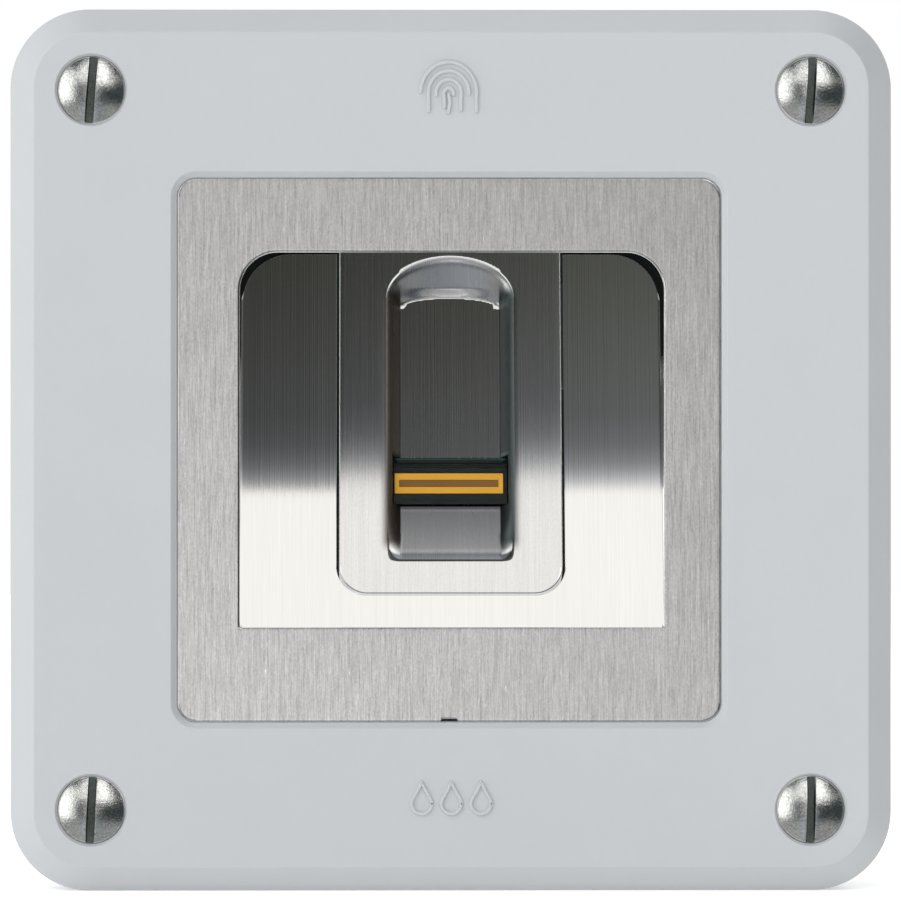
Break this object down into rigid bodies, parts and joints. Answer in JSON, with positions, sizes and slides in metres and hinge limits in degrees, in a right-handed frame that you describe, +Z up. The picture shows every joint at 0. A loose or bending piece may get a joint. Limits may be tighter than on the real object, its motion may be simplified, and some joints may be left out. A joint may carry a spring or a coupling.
{
  "type": "fingerprint scanner terminal",
  "caption": "Flush wall fingerprint scanner: screwed square cover frame, brushed stainless plate with a sloping finger groove and swipe sensor, electronics module and support plate behind.",
  "frame": {"origin": "centre of the bounding box, on the axis of the module; the wall plane, at the back of the support plate, is at y = -0.01285", "axes": "-Y is the front that a finger meets, +Y goes into the wall box, +Z is up, +X is to the right seen from the front"},
  "size_m": [0.0982, 0.0489, 0.0982],
  "materials": {
    "grey_moulding": "fine matte moulded texture, light cool grey",
    "seal_rubber": "soft black rubber",
    "polished_steel": "polished domed heads, lightly handled",
    "brushed_stainless_plate": "vertical brushed grain",
    "brushed_stainless_tray": "vertical brushed grain, brighter",
    "brushed_stainless_guide": "vertical brushed grain, drawn groove",
    "black_carrier": "glossy black",
    "gold_electrode": "gold plated electrode",
    "sensing_line": "brown coated sensing line",
    "circuit_board": "green solder mask",
    "amber_flex": "amber polyimide ribbon",
    "black_moulding": "black moulding",
    "dark_grey_moulding": "dark grey moulding, fine texture",
    "chip_black": "moulded component body",
    "nickel_can": "bright metal can",
    "ivory_socket": "ivory socket",
    "clear_acrylic": "clear moulded acrylic",
    "terminal_black": "black socket moulding",
    "terminal_green": "green plug moulding",
    "zinc_plated_steel": "zinc plated",
    "support_plate_steel": "galvanised sheet",
    "spring_steel": "bright spring leaf"
  },
  "bodies": {
    "base": {"faceplate": "brushed_stainless_plate", "ramp_tray": "brushed_stainless_tray", "finger_guide": "brushed_stainless_guide", "sensor_carrier": "black_carrier", "sensor_bezel": "gold_electrode", "sensor_strip": "sensing_line", "sensor_board": "circuit_board", "main_board": "circuit_board", "sensor_flex": "amber_flex", "front_bezel": "black_moulding", "module_housing": "dark_grey_moulding", "back_cover": "dark_grey_moulding", "processor_chip": "chip_black", "transceiver_chip": "chip_black", "buzzer": "chip_black", "crystal_can": "nickel_can", "capacitor_upper": "nickel_can", "capacitor_lower": "nickel_can", "flex_socket": "ivory_socket", "light_guide": "clear_acrylic", "status_led": "clear_acrylic", "terminal_header": "terminal_black", "standoff_top_left": "zinc_plated_steel", "standoff_top_right": "zinc_plated_steel", "standoff_bottom_left": "zinc_plated_steel", "standoff_bottom_right": "zinc_plated_steel", "housing_screw_top_left": "zinc_plated_steel", "housing_screw_top_right": "zinc_plated_steel", "housing_screw_bottom_left": "zinc_plated_steel", "housing_screw_bottom_right": "zinc_plated_steel", "sensor_screw_left": "zinc_plated_steel", "sensor_screw_right": "zinc_plated_steel", "box_screw_left": "zinc_plated_steel", "box_screw_right": "zinc_plated_steel", "support_plate": "support_plate_steel", "spring_clip_top": "spring_steel", "spring_clip_bottom": "spring_steel"},
    "cover": {"cover_frame": "grey_moulding", "wall_gasket": "seal_rubber", "window_seal": "seal_rubber"},
    "plug": {"terminal_plug": "terminal_green"},
    "screw_rise_top_left": {"screw_seal_top_left": "seal_rubber"},
    "screw_turn_top_left": {"cover_screw_top_left": "polished_steel"},
    "screw_rise_top_right": {"screw_seal_top_right": "seal_rubber"},
    "screw_turn_top_right": {"cover_screw_top_right": "polished_steel"},
    "screw_rise_bottom_left": {"screw_seal_bottom_left": "seal_rubber"},
    "screw_turn_bottom_left": {"cover_screw_bottom_left": "polished_steel"},
    "screw_rise_bottom_right": {"screw_seal_bottom_right": "seal_rubber"},
    "screw_turn_bottom_right": {"cover_screw_bottom_right": "polished_steel"},
    "clamp_1": {"clamp_screw_1": "zinc_plated_steel"},
    "clamp_2": {"clamp_screw_2": "zinc_plated_steel"},
    "clamp_3": {"clamp_screw_3": "zinc_plated_steel"},
    "clamp_4": {"clamp_screw_4": "zinc_plated_steel"}
  },
  "joints": [
    {"name": "cover_lift_off", "type": "slide", "parent": "base", "child": "cover", "axis": [0, -1, 0], "range_m": [0, 0.03]},
    {"name": "screw_rise_top_left", "type": "slide", "parent": "cover", "child": "screw_rise_top_left", "axis": [0, -1, 0], "range_m": [0, 0.0042]},
    {"name": "screw_turn_top_left", "type": "hinge", "parent": "screw_rise_top_left", "child": "screw_turn_top_left", "pos_m": [-0.04, -0.02225, 0.04], "axis": [0, -1, 0], "range_deg": [0, 2160]},
    {"name": "screw_rise_top_right", "type": "slide", "parent": "cover", "child": "screw_rise_top_right", "axis": [0, -1, 0], "range_m": [0, 0.0042]},
    {"name": "screw_turn_top_right", "type": "hinge", "parent": "screw_rise_top_right", "child": "screw_turn_top_right", "pos_m": [0.04, -0.02225, 0.04], "axis": [0, -1, 0], "range_deg": [0, 2160]},
    {"name": "screw_rise_bottom_left", "type": "slide", "parent": "cover", "child": "screw_rise_bottom_left", "axis": [0, -1, 0], "range_m": [0, 0.0042]},
    {"name": "screw_turn_bottom_left", "type": "hinge", "parent": "screw_rise_bottom_left", "child": "screw_turn_bottom_left", "pos_m": [-0.04, -0.02225, -0.04], "axis": [0, -1, 0], "range_deg": [0, 2160]},
    {"name": "screw_rise_bottom_right", "type": "slide", "parent": "cover", "child": "screw_rise_bottom_right", "axis": [0, -1, 0], "range_m": [0, 0.0042]},
    {"name": "screw_turn_bottom_right", "type": "hinge", "parent": "screw_rise_bottom_right", "child": "screw_turn_bottom_right", "pos_m": [0.04, -0.02225, -0.04], "axis": [0, -1, 0], "range_deg": [0, 2160]},
    {"name": "plug_pull", "type": "slide", "parent": "base", "child": "plug", "axis": [0, 1, 0], "range_m": [0, 0.012]},
    {"name": "clamp_turn_1", "type": "hinge", "parent": "plug", "child": "clamp_1", "pos_m": [-0.00762, 0.01815, -0.0112], "axis": [0, 0, 1], "range_deg": [0, 1080]},
    {"name": "clamp_turn_2", "type": "hinge", "parent": "plug", "child": "clamp_2", "pos_m": [-0.00254, 0.01815, -0.0112], "axis": [0, 0, 1], "range_deg": [0, 1080]},
    {"name": "clamp_turn_3", "type": "hinge", "parent": "plug", "child": "clamp_3", "pos_m": [0.00254, 0.01815, -0.0112], "axis": [0, 0, 1], "range_deg": [0, 1080]},
    {"name": "clamp_turn_4", "type": "hinge", "parent": "plug", "child": "clamp_4", "pos_m": [0.00762, 0.01815, -0.0112], "axis": [0, 0, 1], "range_deg": [0, 1080]}
  ],
  "couplings": [
    {"joint": "screw_turn_top_left", "follows": "screw_rise_top_left", "rad_per_m": 8976},
    {"joint": "screw_turn_top_right", "follows": "screw_rise_top_right", "rad_per_m": 8976},
    {"joint": "screw_turn_bottom_left", "follows": "screw_rise_bottom_left", "rad_per_m": 8976},
    {"joint": "screw_turn_bottom_right", "follows": "screw_rise_bottom_right", "rad_per_m": 8976}
  ]
}
